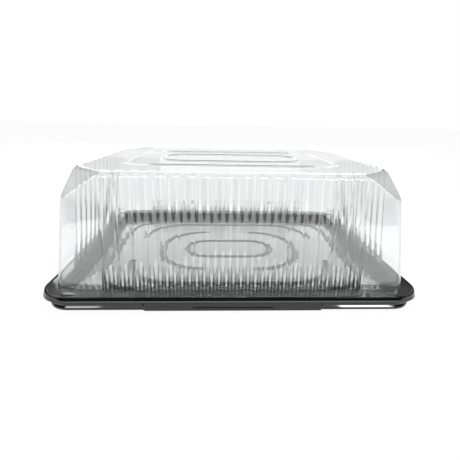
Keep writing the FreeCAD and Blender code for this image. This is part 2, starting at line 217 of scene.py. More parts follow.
@dataclass
class FormedLine:
    """A bead, groove or rim: one cross-section carried along a line of runs and turns.

    Attributes:
        start: Where the line starts.
        heading: The level direction in which it starts.
        section: Pairs of offset to the right of the line and height above it, from left to right.
        bends: The runs and turns of the line.
        steps: Segments in a quarter turn.
    """

    start: Vector
    heading: Vector
    section: Section
    bends: list[Bend]
    steps: int = LINE_STEPS

    def build(self, bm: Mesh, closed: bool) -> None:
        """Add the line to a mesh.

        Args:
            bm: The mesh to add to.
            closed: True for a ring that ends where it starts, False for a line with round ends.
        """
        before = set(bm.verts)
        place, heading = self.start.copy(), self.heading.copy()
        right = heading.cross(UP)
        verts = [bm.verts.new(place + right * across + UP * height) for across, height in self.section]
        chain = [*verts, *(bm.edges.new(pair) for pair in zip(verts, verts[1:]))]
        if not closed:
            self._round_end(bm, chain, place, heading, math.pi)
        for bend in self.bends:
            chain, place, heading = self._follow(bm, chain, place, heading, bend)
        if not closed:
            self._round_end(bm, chain, place, heading, -math.pi)
        made = [vert for vert in bm.verts if vert not in before]
        bmesh.ops.remove_doubles(bm, verts=made, dist=NEAR)

    def _follow(
        self, bm: Mesh, chain: list[Element], place: Vector, heading: Vector, bend: Bend
    ) -> tuple[list[Element], Vector, Vector]:
        """Carry the cross-section along a run and round the turn after it.

        Args:
            bm: The mesh to add to.
            chain: The cross-section so far.
            place: Where it is.
            heading: The way it goes.
            bend: The run and the turn.

        Returns:
            The new cross-section, its place and its heading.
        """
        step = heading * bend.run
        if step.length >= NEAR:
            edges = [item for item in chain if isinstance(item, Edge)]
            grown = bmesh.ops.extrude_edge_only(bm, edges=edges)["geom"]
            verts = [item for item in grown if isinstance(item, Vert)]
            bmesh.ops.translate(bm, verts=verts, vec=step)
            ends = [item for item in grown if isinstance(item, Edge) and set(item.verts) <= set(verts)]
            chain, place = [*verts, *ends], place + step
        if not bend.angle:
            return chain, place, heading
        angle = math.radians(bend.angle)
        centre = place + UP.cross(heading) * bend.radius
        steps = max(2, round(self.steps * abs(bend.angle) / 90.0))
        spun = bmesh.ops.spin(bm, geom=chain, cent=centre, axis=UP, angle=angle, steps=steps, use_merge=False)
        turn = Matrix.Rotation(angle, 3, "Z")
        return spun["geom_last"], centre + turn @ (place - centre), turn @ heading

    def _round_end(
        self, bm: Mesh, chain: list[Element], place: Vector, heading: Vector, angle: float
    ) -> None:
        """Close an end of the line by spinning the left half of its cross-section about the end.

        Args:
            bm: The mesh to add to.
            chain: The cross-section at the end.
            place: The middle of the end.
            heading: The way the line goes there.
            angle: Half a turn, by way of the outside of the end.
        """
        left = UP.cross(heading)
        edges = [item for item in chain if isinstance(item, Edge)]
        half = [edge for edge in edges if all((vert.co - place).dot(left) > -NEAR for vert in edge.verts)]
        geom = [*{vert for edge in half for vert in edge.verts}, *half]
        bmesh.ops.spin(bm, geom=geom, cent=place, axis=UP, angle=angle, steps=self.steps, use_merge=False)


@dataclass(frozen=True)
class Ring:
    """A level ring with round corners, formed whole or as two facing halves.

    Attributes:
        half_x: Half its length.
        half_y: Half its width.
        radius: Radius of its corners.
        gap: Half the gap between its two halves.
    """

    half_x: float
    half_y: float
    radius: float
    gap: float = 0.0

    def form(self, bm: Mesh, level: float, section: Section, steps: int = LINE_STEPS) -> None:
        """Form the whole ring, from the middle of its front and to the right.

        Args:
            bm: The mesh to add to.
            level: The height of the ring.
            section: Its cross-section, from the inside out.
            steps: Segments in each corner.
        """
        long, short = 2.0 * (self.half_x - self.radius), 2.0 * (self.half_y - self.radius)
        bends = [Bend(run, self.radius, 90.0) for run in (long / 2.0, short, long, short)]
        start = Vector((0.0, -self.half_y, level))
        FormedLine(start, AHEAD, section, [*bends, Bend(long / 2.0)], steps).build(bm, closed=True)

    def form_half(self, bm: Mesh, level: float, section: Section, side: Side) -> None:
        """Form the half of the ring that lies to one side.

        Args:
            bm: The mesh to add to.
            level: The height of the ring.
            section: Its cross-section, from the inside out.
            side: The side.
        """
        out = side.out
        reach, across = (self.half_x, self.half_y) if out.x else (self.half_y, self.half_x)
        start = out * self.gap - UP.cross(out) * across + UP * level
        leg = reach - self.radius - self.gap
        back = 2.0 * (across - self.radius)
        bends = [Bend(leg, self.radius, 90.0), Bend(back, self.radius, 90.0), Bend(leg)]
        FormedLine(start, out, section, bends).build(bm, closed=False)

    def reaches(self, edge: Edge) -> list[float]:
        """Say how far an edge's ends lie from the box between the centres of the ring's corners.

        Args:
            edge: The edge.

        Returns:
            The two level distances, which are the radius on the ring itself.
        """
        inner_x, inner_y = self.half_x - self.radius, self.half_y - self.radius
        places = [(abs(vert.co.x) - inner_x, abs(vert.co.y) - inner_y) for vert in edge.verts]
        return [math.hypot(max(0.0, x), max(0.0, y)) for x, y in places]

    def fill_inside(self, bm: Mesh, level: float) -> None:
        """Fill the flat sheet inside the whole ring, at its level, with one face."""
        loop = [edge for edge in open_edges(bm, level) if max(self.reaches(edge)) < self.radius]
        bmesh.ops.contextual_create(bm, geom=loop)


def link_mesh(name: str, bm: Mesh, materials: list[bpy.types.Material]) -> bpy.types.Object:
    """Put a mesh into the scene as an object at the origin.

    Args:
        name: The object's name.
        bm: The mesh, in metres, which is freed.
        materials: Its materials, in order.

    Returns:
        The new object.
    """
    mesh = bpy.data.meshes.new(name)
    bm.to_mesh(mesh)
    bm.free()
    for material in materials:
        mesh.materials.append(material)
    thing = bpy.data.objects.new(name, mesh)
    bpy.context.scene.collection.objects.link(thing)
    return thing


def new_piece(
    name: str, bm: Mesh, materials: list[bpy.types.Material], gauge: float, width: float, angle: float
) -> bpy.types.Object:
    """Turn an open sheet in millimetres into a smooth object in metres, with its level parts facing up.

    Its thickness goes on the far side of its faces, and its sharp folds are rounded. Broad faces keep flat
    shading and the narrow ones between them carry the turn.

    Args:
        name: The object's name.
        bm: The sheet, which is freed.
        materials: Its materials, in order.
        gauge: Thickness of the sheet.
        width: Width of the rounding.
        angle: Least fold that is rounded, in degrees.

    Returns:
        The new object.
    """
    bmesh.ops.recalc_face_normals(bm, faces=bm.faces)
    if sum(face.normal.z * face.calc_area() for face in bm.faces) < 0.0:
        bmesh.ops.reverse_faces(bm, faces=bm.faces)
    bmesh.ops.scale(bm, vec=Vector((MM, MM, MM)), verts=bm.verts)
    piece = link_mesh(name, bm, materials)
    piece.data.shade_smooth()
    folds = piece.modifiers.new("folds", "BEVEL")
    folds.width = width * MM
    folds.segments = FOLD_SEGMENTS
    folds.limit_method = "ANGLE"
    folds.angle_limit = math.radians(angle)
    sheet = piece.modifiers.new("gauge", "SOLIDIFY")
    sheet.thickness = gauge * MM
    sheet.offset = -1.0
    even = piece.modifiers.new("even_shading", "WEIGHTED_NORMAL")
    even.weight = FLAT_WEIGHT
    return piece


def mix_surfaces(
    material: bpy.types.Material, share: bpy.types.NodeSocket, first: bpy.types.Node, second: bpy.types.Node
) -> None:
    """Make a material out of two surfaces.

    Args:
        material: The material.
        share: What gives the share of the second surface.
        first: The shader of the first surface.
        second: The shader of the second surface.
    """
    nodes, links = material.node_tree.nodes, material.node_tree.links
    mix = nodes.new("ShaderNodeMixShader")
    for source, target in zip((share, first.outputs[0], second.outputs[0]), mix.inputs):
        links.new(source, target)
    links.new(mix.outputs[0], nodes["Material Output"].inputs["Surface"])


def plain_paint(name: str, tone: float) -> bpy.types.Material:
    """Make a grey paint without gloss, for the things round the object.

    Args:
        name: The material's name.
        tone: How light it is.

    Returns:
        The new material.
    """
    material = bpy.data.materials.new(name)
    material.use_nodes = True
    paint = material.node_tree.nodes["Principled BSDF"]
    paint.inputs["Base Color"].default_value = (tone, tone, tone, 1.0)
    paint.inputs["Specular IOR Level"].default_value = 0.0
    return material


def drawn_sheet_group() -> bpy.types.NodeTree:
    """Give the shared group for formed sheet: slow thinning of the gauge and a fine surface waver.

    Returns:
        The node group, made once.
    """
    found = bpy.data.node_groups.get("drawn_sheet")
    if found:
        return found
    group = bpy.data.node_groups.new("drawn_sheet", "ShaderNodeTree")
    for name, default in (("Drift Scale", 12.0), ("Waver Scale", 60.0)):
        socket = group.interface.new_socket(name, in_out="INPUT", socket_type="NodeSocketFloat")
        socket.default_value = default
    for name in ("Drift", "Waver"):
        group.interface.new_socket(name, in_out="OUTPUT", socket_type="NodeSocketFloat")
    nodes, links = group.nodes, group.links
    entry, leave = nodes.new("NodeGroupInput"), nodes.new("NodeGroupOutput")
    place = nodes.new("ShaderNodeTexCoord")
    for name, detail in (("Drift", 2.0), ("Waver", 1.0)):
        noise = nodes.new("ShaderNodeTexNoise")
        noise.inputs["Detail"].default_value = detail
        links.new(place.outputs["Object"], noise.inputs["Vector"])
        links.new(entry.outputs[name + " Scale"], noise.inputs["Scale"])
        links.new(noise.outputs["Fac"], leave.inputs[name])
    return group


@dataclass(frozen=True)
class SheetFinish:
    """What both formed plastics share: a drifting tone, a drifting gloss and a faint waver.

    The low and high values are the two ends of the drift. The index says how much light bends.
    """

    name: str
    slot: str
    low: Triple
    high: Triple
    sheen_low: float
    sheen_high: float
    waver: float
    index: float

    def material(self) -> bpy.types.Material:
        """Make the material.

        Returns:
            The new material.
        """
        material = bpy.data.materials.new(self.name)
        material.use_nodes = True
        nodes, links = material.node_tree.nodes, material.node_tree.links
        shader = nodes["Principled BSDF"]
        drawn = nodes.new("ShaderNodeGroup")
        drawn.node_tree = drawn_sheet_group()
        tone = nodes.new("ShaderNodeMix")
        tone.data_type = "RGBA"
        tone.inputs[MIX_LOW].default_value = (*self.low, 1.0)
        tone.inputs[MIX_HIGH].default_value = (*self.high, 1.0)
        links.new(drawn.outputs["Drift"], tone.inputs[MIX_FACTOR])
        links.new(tone.outputs[MIX_COLOUR], shader.inputs["Base Color"])
        gloss = nodes.new("ShaderNodeMapRange")
        gloss.inputs["To Min"].default_value = self.sheen_low
        gloss.inputs["To Max"].default_value = self.sheen_high
        links.new(drawn.outputs["Drift"], gloss.inputs["Value"])
        links.new(gloss.outputs["Result"], shader.inputs["Roughness"])
        bump = nodes.new("ShaderNodeBump")
        bump.inputs["Strength"].default_value = self.waver
        bump.inputs["Distance"].default_value = WAVER_DEPTH * MM
        links.new(drawn.outputs["Waver"], bump.inputs["Height"])
        links.new(bump.outputs["Normal"], shader.inputs["Normal"])
        shader.inputs["IOR"].default_value = self.index
        return material


@dataclass(frozen=True)
class ClearSheet(SheetFinish):
    """Clear glossy sheet with the slight haze of formed plastic.

    Attributes:
        clarity: How much of the light goes through.
        shade: How much of a lamp's light reaches what lies behind.
        foot_shade: How much of its tone the sheet keeps at its foot, where the darkening is painted shade.
        foot_level: The height, in millimetres, at which the tone is whole again.
        foot_fade: The height over which the tone changes.
    """

    clarity: float = 0.975
    shade: float = 0.93
    foot_shade: float = 1.0
    foot_level: float = 0.0
    foot_fade: float = 10.0

    def material(self) -> bpy.types.Material:
        """Make the material; lamps shine straight through it.

        Returns:
            The new material.
        """
        material = super().material()
        nodes = material.node_tree.nodes
        shader = nodes["Principled BSDF"]
        shader.inputs["Transmission Weight"].default_value = self.clarity
        if self.foot_shade < 1.0:
            self._paint_foot_shade(material)
        path = nodes.new("ShaderNodeLightPath")
        through = nodes.new("ShaderNodeBsdfTransparent")
        through.inputs["Color"].default_value = (self.shade, self.shade, self.shade, 1.0)
        mix_surfaces(material, path.outputs["Is Shadow Ray"], shader, through)
        return material

    def _paint_foot_shade(self, material: bpy.types.Material) -> None:
        """Darken the tone towards the foot of the sheet, as painted shade.

        Args:
            material: The material.
        """
        nodes, links = material.node_tree.nodes, material.node_tree.links
        place = nodes.new("ShaderNodeTexCoord")
        parts = nodes.new("ShaderNodeSeparateXYZ")
        links.new(place.outputs["Object"], parts.inputs[0])
        fade = nodes.new("ShaderNodeMapRange")
        fade.interpolation_type = "SMOOTHSTEP"
        fade.inputs["From Min"].default_value = (self.foot_level - self.foot_fade) * MM
        fade.inputs["From Max"].default_value = self.foot_level * MM
        fade.inputs["To Min"].default_value = self.foot_shade
        links.new(parts.outputs["Z"], fade.inputs["Value"])
        colour = nodes["Principled BSDF"].inputs["Base Color"]
        both = nodes.new("ShaderNodeMix")
        both.data_type = "RGBA"
        both.blend_type = "MULTIPLY"
        both.inputs[MIX_FACTOR].default_value = 1.0
        links.new(colour.links[0].from_socket, both.inputs[MIX_LOW])
        links.new(fade.outputs["Result"], both.inputs[MIX_HIGH])
        links.new(both.outputs[MIX_COLOUR], colour)


@dataclass(frozen=True)
class BlackSheet(SheetFinish):
    """Black sheet, which needs no more than what both plastics share."""


@dataclass
class DomeLid:
    """The clear lid: a drafted box with cut top corners, fluted walls, beads and a flat flange.

    Sizes are in millimetres. The three finishes are for the sheet, the flutes' folds and the flange.
    The last two are darker copies of the first: painted shade.
    """

    finish: ClearSheet
    fold_shade_finish: ClearSheet
    flange_shade_finish: ClearSheet
    flange: Ring = Ring(182.9, 142.9, 24.9)
    flange_level: float = 16.1
    lip_width: float = 1.0
    foot_x: float = 173.0
    foot_y: float = 129.0
    top_x: float = 159.0
    top_y: float = 115.0
    top_level: float = 127.5
    corner_round: float = 10.0
    corner_segments: int = 4
    corner_cut: float = 35.0
    shoulder_drop: float = 20.3
    shoulder_cut: float = 10.0
    facet_lean: tuple[float, float] = (0.3, 0.95)
    facet_strip: float = 1.5
    brow: float = 4.8
    brow_slack: float = 0.6
    brow_segments: int = 8
    gauge: float = 0.5
    edge_round: float = 0.4
    edge_angle: float = 28.0
    flute_pitch: float = 14.19
    flute_base: float = 10.65
    flute_crest: float = 3.55
    flute_depth: float = 2.6
    flute_reach: float = 14.0
    fold_narrow: float = 0.5
    fold_wide: float = 1.05
    fold_flare: float = 3.0
    fold_spread: float = 24.0
    flutes_long: int = 18
    flutes_short: int = 11
    run_out: tuple[float, ...] = (4.0, 9.0, 14.0)
    run_out_rise: float = 0.6
    bead_width: float = 6.0
    bead_height: float = 1.0
    end_bead_height: float = 0.3
    inner_bead: Ring = Ring(84.0, 31.0, 30.5)
    end_bead: Ring = Ring(118.0, 64.0, 24.0, 94.0)
    long_bead: float = 168.0
    snap_x: float = 156.5
    snap_y: float = 138.5
    snap_length: float = 9.4
    snap_width: float = 4.6
    snap_height: float = 1.0

    def build(self) -> bpy.types.Object:
        """Build the lid and hang it on its body.

        Returns:
            The lid.
        """
        bm = bmesh.new()
        self._box(bm)
        self._cut_corners(bm)
        self._edge_facets(bm)
        top = edges_where(bm, lambda a, b: min(a.z, b.z) > self.top_level - NEAR)
        bevel(bm, top, self.brow, self.brow_segments)
        for side in Side:
            self._flutes(bm, side)
        self._top_beads(bm)
        self._flange(bm)
        sheets = [sheet.material() for sheet in (self.finish, self.fold_shade_finish, self.flange_shade_finish)]
        lid = new_piece("clear_lid", bm, sheets, self.gauge, self.edge_round, self.edge_angle)
        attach(lid, "lid")
        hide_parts("dome_lid")
        return lid

    def _box(self, bm: Mesh) -> None:
        """Make the open drafted box with round upright corners.

        Args:
            bm: The empty mesh.
        """
        bmesh.ops.create_cube(bm, size=2.0)
        middle = (self.flange_level + self.top_level) / 2.0
        rise = (self.top_level - self.flange_level) / 2.0
        bmesh.ops.scale(bm, vec=Vector((self.foot_x, self.foot_y, rise)), verts=bm.verts)
        bmesh.ops.translate(bm, vec=UP * middle, verts=bm.verts)
        upper = [vert for vert in bm.verts if vert.co.z > middle]
        taper = Vector((self.top_x / self.foot_x, self.top_y / self.foot_y, 1.0))
        bmesh.ops.scale(bm, vec=taper, verts=upper)
        under = [face for face in bm.faces if face.calc_center_median().z < self.flange_level + NEAR]
        bmesh.ops.delete(bm, geom=under, context="FACES_ONLY")
        upright = edges_where(bm, lambda a, b: abs(a.z - b.z) > rise)
        bevel(bm, upright, self.corner_round, self.corner_segments)

    def _cut_corners(self, bm: Mesh) -> None:
        """Slice off the four top corners.

        Args:
            bm: The lid so far.
        """
        lean = (self.foot_x - self.top_x) * self.shoulder_drop / (self.top_level - self.flange_level)
        high_inset, low_inset = self.corner_cut / 2.0, self.shoulder_cut / 2.0 - lean
        for x, y in CORNERS:
            high = Vector((x * (self.top_x - high_inset), y * (self.top_y - high_inset), 0.0))
            low = Vector((x * (self.top_x - low_inset), y * (self.top_y - low_inset), -self.shoulder_drop))
            normal = Vector((-y, x, 0.0)).cross(high - low).normalized()
            if normal.dot(Vector((x, y, 0.0))) < 0.0:
                normal.negate()
            slice_off(bm, high + UP * self.top_level, normal)

    def _edge_facets(self, bm: Mesh) -> None:
        """Take the lower edges of the four cut corners back to flat strips.

        Args:
            bm: The lid so far.
        """
        least, most = self.facet_lean
        facets = {face for face in bm.faces if least < face.normal.z < most}
        lower = edges_where(bm, lambda a, b: min(a.z, b.z) < self.top_level - NEAR)
        edges = [edge for edge in lower if len(facets.intersection(edge.link_faces)) == 1]
        bevel(bm, edges, self.facet_strip, 1)

    def _flutes(self, bm: Mesh, side: Side) -> None:
        """Press one wall's row of flutes, which run out on the top and spread at the foot.

        Args:
            bm: The lid so far.
            side: The wall.
        """
        out, along = side.out, side.along
        count = self.flutes_long if along.x else self.flutes_short
        edge = (self.top_y if along.x else self.top_x) - self.brow
        reach = edge - self.flute_reach
        knee = self.flange_level + self.fold_spread

        def on_top(centre: Vector) -> bool:
            """True for a face of the top."""
            return centre.z > self.top_level - NEAR

        def fluted(centre: Vector) -> bool:
            """True for a face of this wall, its brow or the strip of the top along it."""
            return centre.dot(out) > reach - NEAR

        score(bm, on_top, [(out * (edge - step), out) for step in self.run_out])
        score(bm, fluted, [(UP * knee, UP)])
        places = [(number - (count - 1) / 2.0) * self.flute_pitch for number in range(count)]
        upper, lower = [], []
        for place in places:
            for offset in (-self.flute_base, -self.flute_crest, self.flute_crest, self.flute_base):
                fold = along * (place + offset / 2.0)
                lower.append((fold, along))
                for hand in HANDS:
                    start = fold + along * hand * self.fold_narrow
                    slant = along * hand * (self.fold_wide - self.fold_narrow) - UP * self.fold_spread
                    upper.append((start, along))
                    lower.append((start + UP * knee, out.cross(slant).normalized()))
        score(bm, lambda centre: fluted(centre) and centre.z > knee, upper)
        score(bm, lambda centre: fluted(centre) and centre.z < knee, lower)
        # Faces of the folds and roots take the darker fold sheet, which paints shade into the creases.
        for face in bm.faces:
            centre = face.calc_center_median()
            if centre.dot(out) > edge and centre.z < self.top_level - self.brow:
                face.material_index = FOLD_SHEET if self._in_fold(centre, side, places) else 0
        for vert in bm.verts:
            if fluted(vert.co):
                vert.co += self._flute_step(vert.co, side, edge, places)

    def _in_fold(self, place: Vector, side: Side, places: list[float]) -> bool:
        """Say whether a place on the wall lies in a fold or in the root between two flutes.

        Args:
            place: The place.
            side: The wall.
            places: The middles of the flutes along the wall.

        Returns:
            True in a fold or a root.
        """
        along = place.dot(side.along)
        if abs(along) > places[-1] + self.flute_base / 2.0 + self.fold_narrow:
            return False
        across = min(abs(along - middle) for middle in places)
        spread = max(0.0, (self.flange_level + self.fold_spread - place.z) / self.fold_spread)
        half = self.fold_narrow + (self.fold_wide - self.fold_narrow) * spread
        root = across > self.flute_base / 2.0 and spread <= 0.0
        return root or self._from_fold(across) < half

    def _from_fold(self, across: float) -> float:
        """Say how far a place at a distance from its flute's middle lies from the nearer fold."""
        return min(abs(across - self.flute_base / 2.0), abs(across - self.flute_crest / 2.0))

    def _flute_step(self, place: Vector, side: Side, edge: float, places: list[float]) -> Vector:
        """Say how a place on the plain sheet moves when the flutes are pressed.

        Args:
            place: A place on the wall, its brow or the top.
            side: The wall.
            edge: Distance of the top's edge from the middle.
            places: The middles of the flutes along the wall.

        Returns:
            The step to the pressed sheet.
        """
        across = min(abs(place.dot(side.along) - middle) for middle in places)
        slope = (self.flute_base - self.flute_crest) / 2.0
        share = min(1.0, max(0.0, (self.flute_base / 2.0 - across) / slope))
        step = self._flute_rise(place, side.out, edge) * share
        if place.z < self.flange_level + NEAR and self._from_fold(across) < NEAR:
            step += side.out * self.fold_flare
        return step

    def _flute_rise(self, place: Vector, out: Vector, edge: float) -> Vector:
        """Say how far the crest of a flute stands off the sheet.

        Args:
            place: A place on the sheet.
            out: The way the wall faces.
            edge: Distance of the top's edge from the middle.

        Returns:
            The step from the sheet to the crest.
        """
        past = edge - place.dot(out)
        drop = self.top_level - place.z
        if drop > self.brow + self.brow_slack:
            return out * self.flute_depth
        if past < 0.0:
            turned = 1.0 - min(1.0, drop / self.brow)
            turn = math.radians(90.0) * turned
            depth = self.flute_depth + (self.run_out_rise - self.flute_depth) * turned
            return (out * math.cos(turn) + UP * math.sin(turn)) * depth
        left = max(0.0, 1.0 - past / self.flute_reach)
        return UP * self.run_out_rise * left * abs(out.y)

    def _top_beads(self, bm: Mesh) -> None:
        """Press the beads of the top and fill the sheet round them.

        Args:
            bm: The lid so far.
        """
        level = self.top_level
        flat = [face for face in bm.faces if face.calc_center_median().z > level - NEAR]
        middle = max(flat, key=lambda face: face.calc_area())
        bmesh.ops.delete(bm, geom=[middle], context="FACES_ONLY")
        section = Form.FLAT.section(self.bead_width, self.bead_height)
        self.inner_bead.form(bm, level, section)
        self.inner_bead.fill_inside(bm, level)
        for hand in HANDS:
            start = Vector((-self.long_bead / 2.0, hand * self.end_bead.half_y, level))
            FormedLine(start, AHEAD, section, [Bend(self.long_bead)]).build(bm, closed=False)
        faint = Form.FLAT.section(self.bead_width, self.end_bead_height)
        for side in (Side.LEFT, Side.RIGHT):
            self.end_bead.form_half(bm, level, faint, side)
        fill_between(bm, open_edges(bm, level))

    def _flange(self, bm: Mesh) -> None:
        """Lay the flange round the foot, with its four snaps.

        Args:
            bm: The lid so far.
        """
        walls = set(bm.faces)
        level = self.flange_level
        self.flange.form(bm, level, [(-self.lip_width, 0.0), (0.0, 0.0)], RIM_STEPS)
        section = Form.SOFT.section(self.snap_width, self.snap_height)
        for x, y in CORNERS:
            start = Vector((x * self.snap_x - self.snap_length / 2.0, y * self.snap_y, level))
            snap = FormedLine(start, AHEAD, section, [Bend(self.snap_length)], SNAP_STEPS)
            snap.build(bm, closed=False)
        lip = self.flange.radius - self.lip_width / 2.0
        fill_between(bm, [edge for edge in open_edges(bm, level) if min(self.flange.reaches(edge)) < lip])
        # The flange takes the darker flange sheet, a painted shade over the seat below it.
        for face in bm.faces:
            if face not in walls:
                face.material_index = FLANGE_SHEET


@dataclass
class BaseTray:
    """The black tray: a shallow pan with a ring-pressed floor and a turned-down rim.

    Sizes are in millimetres. The two finishes are for the sheet and the floor's rings.
    """

    finish: BlackSheet
    ring_finish: BlackSheet
    rim: Ring = Ring(186.5, 146.5, 28.5)
    rim_top: float = 16.5
    rim_foot: float = 11.9
    seat: float = 15.4
    rim_flare: float = 1.8
    bead_width: float = 1.4
    mouth_inset: float = 7.0
    floor_inset: float = 7.5
    channel_inset: float = 12.0
    step_foot: float = 1.2
    step_low: float = 2.7
    step_high: float = 4.5
    step_proud: float = 1.22
    gauge: float = 0.7
    edge_round: float = 0.7
    edge_angle: float = 20.0
    platform: Ring = Ring(164.0, 124.0, 29.0)
    platform_top: float = 5.2
    platform_draft: float = 0.8
    platform_edge: float = 2.0
    ring_width: float = 8.0
    ring_depth: float = 1.6
    inner_ring: Ring = Ring(56.0, 27.0, 26.5)
    side_rings: tuple[Ring, Ring] = (Ring(88.5, 62.5, 54.0, 34.0), Ring(149.0, 109.0, 43.0, 105.0))
    long_ring: Ring = Ring(121.0, 98.0, 57.0, 41.0)
    panel_x: float = 87.0
    panel_proud: float = 2.4
    panel_top: float = 11.2
    slot_x: float = 40.0
    slot_low: float = 2.8
    slot_high: float = 5.9
    slot_depth: float = 0.9

    def build(self) -> bpy.types.Object:
        """Build the tray and stand it on its body.

        Returns:
            The tray.
        """
        bm = bmesh.new()
        self._pan(bm)
        for side in (Side.FRONT, Side.BACK):
            self._panel(bm, side)
        self._platform(bm)
        sheets = [sheet.material() for sheet in (self.finish, self.ring_finish)]
        tray = new_piece("black_tray", bm, sheets, self.gauge, self.edge_round, self.edge_angle)
        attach(tray, "tray")
        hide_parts("base_tray")
        return tray

    def _pan(self, bm: Mesh) -> None:
        """Make the rim, the seat, the wall and the channel's edge as one swept section.

        Args:
            bm: The empty mesh.
        """
        step = ((self.step_foot, self.step_proud), (self.step_low, self.step_proud), (self.step_high, 0.0))
        section = [
            (-self.channel_inset, self.gauge),
            (-self.floor_inset, self.gauge),
            *((proud - self._wall_inset(height), height) for height, proud in step),
            (-self.mouth_inset, self.seat),
            (-self.rim_flare - self.bead_width, self.seat),
            (-self.rim_flare - self.bead_width, self.rim_top),
            (-self.rim_flare, self.rim_top),
            (0.0, self.rim_foot),
        ]
        self.rim.form(bm, 0.0, section, RIM_STEPS)

    def _wall_inset(self, height: float) -> float:
        """Say how far the plain wall lies inside the rim's edge at a height above the table."""
        share = (height - self.gauge) / (self.seat - self.gauge)
        return self.floor_inset + (self.mouth_inset - self.floor_inset) * share

    def _panel(self, bm: Mesh, side: Side) -> None:
        """Press the proud panel of a long wall and the slot in it.

        Args:
            bm: The pan so far.
            side: The wall.
        """
        out, along = side.out, side.along
        wall = self.rim.half_y - self.floor_inset

        def on_wall(centre: Vector) -> bool:
            """True for a face of the straight part of this wall."""
            return centre.dot(out) > wall - NEAR and self.gauge < centre.z < self.seat

        def span(half: float) -> list[Plane]:
            """Give the two upright planes at a distance from the middle."""
            return [(along * half * hand, along) for hand in HANDS]

        def level(height: float) -> Plane:
            """Give the level plane at a height."""
            return UP * height, UP

        tops = [level(self.panel_top - self.panel_proud), level(self.panel_top)]
        score(bm, on_wall, [*span(self.panel_x), *span(self.panel_x - self.panel_proud), *tops])
        for vert in bm.verts:
            inside = abs(vert.co.dot(along)) < self.panel_x - self.panel_proud + NEAR
            if inside and vert.co.z < self.panel_top - NEAR and vert.co.dot(out) > wall - NEAR:
                plain = self.rim.half_y - self._wall_inset(vert.co.z)
                vert.co += out * (plain + self.panel_proud - vert.co.dot(out))
        lip = self.slot_depth / 2.0
        heights = (self.slot_low, self.slot_low + lip, self.slot_high - lip, self.slot_high)
        inner = self.slot_x - self.slot_high + self.slot_low
        score(bm, on_wall, [*span(self.slot_x), *span(inner), *(level(height) for height in heights)])
        for vert in bm.verts:
            inside = abs(vert.co.dot(along)) < inner + NEAR and vert.co.dot(out) > wall + NEAR
            if inside and heights[1] - NEAR < vert.co.z < heights[2] + NEAR:
                vert.co -= out * self.slot_depth

    def _platform(self, bm: Mesh) -> None:
        """Raise the platform, fill the channel round it and press the rings into it.

        Args:
            bm: The pan with its panels.
        """
        level = self.platform_top
        section = [(-self.platform_edge, level), (-self.platform_draft, level), (0.0, self.gauge)]
        self.platform.form(bm, 0.0, section, RIM_STEPS)
        fill_between(bm, open_edges(bm, self.gauge))
        plain = set(bm.faces)
        section = Form.ROUND.section(self.ring_width, -self.ring_depth)
        self.inner_ring.form(bm, level, section)
        self.inner_ring.fill_inside(bm, level)
        for ring in self.side_rings:
            for side in (Side.LEFT, Side.RIGHT):
                ring.form_half(bm, level, section, side)
        for side in (Side.FRONT, Side.BACK):
            self.long_ring.form_half(bm, level, section, side)
        for face in bm.faces:
            if face not in plain and face.calc_center_median().z < level - NEAR:
                face.material_index = RING_SHEET
        fill_between(bm, open_edges(bm, level))


@dataclass(frozen=True)
class Flag:
    """A cloth or card beside the object, which the camera doesn't see.

    Its rise is half its height or, where it lies level, half its depth. Only reflections show a dark one.
    """

    name: str
    centre: Triple
    half: float
    rise: float
    turn: Turn
    tone: float = 0.01
    dark: float = 0.1

    def hang(self) -> None:
        """Hang the flag where it throws no shadow."""
        bm = bmesh.new()
        bmesh.ops.create_grid(bm, x_segments=1, y_segments=1, size=1.0)
        bmesh.ops.scale(bm, vec=Vector((self.half, self.rise, 1.0)), verts=bm.verts)
        bmesh.ops.rotate(bm, verts=bm.verts, cent=Vector(), matrix=self.turn.matrix)
        bmesh.ops.translate(bm, vec=Vector(self.centre), verts=bm.verts)
        cloth = plain_paint(self.name, self.tone)
        if self.tone < self.dark:
            self._only_in_mirrors(cloth)
        flag = link_mesh(self.name, bm, [cloth])
        flag.visible_camera = False
        flag.visible_diffuse = False
        flag.visible_shadow = False

    @staticmethod
    def _only_in_mirrors(cloth: bpy.types.Material) -> None:
        """Make the cloth invisible to light that no surface has reflected.

        Args:
            cloth: The cloth, told by the count of reflections: none is less than a half.
        """
        nodes = cloth.node_tree.nodes
        path = nodes.new("ShaderNodeLightPath")
        mirrored = nodes.new("ShaderNodeMath")
        mirrored.operation = "GREATER_THAN"
        mirrored.inputs[1].default_value = 0.5
        cloth.node_tree.links.new(path.outputs["Glossy Depth"], mirrored.inputs[0])
        clear = nodes.new("ShaderNodeBsdfTransparent")
        mix_surfaces(cloth, mirrored.outputs[0], clear, nodes["Principled BSDF"])


@dataclass(frozen=True)
class Lamp:
    """A soft lamp, which the camera doesn't see. Lengths are in metres and the power is in watts."""

    name: str
    place: Triple
    aim: Triple
    size: tuple[float, float]
    power: float
    outline: Outline = Outline.RECTANGLE

    def hang(self) -> None:
        """Hang the lamp."""
        light = bpy.data.lights.new(self.name, "AREA")
        light.shape = self.outline.value
        light.size, light.size_y = self.size
        light.energy = self.power
        lamp = bpy.data.objects.new(self.name, light)
        lamp.location = self.place
        lamp.rotation_euler = (Vector(self.aim) - Vector(self.place)).to_track_quat("-Z", "Y").to_euler()
        lamp.visible_camera = False
        bpy.context.scene.collection.objects.link(lamp)


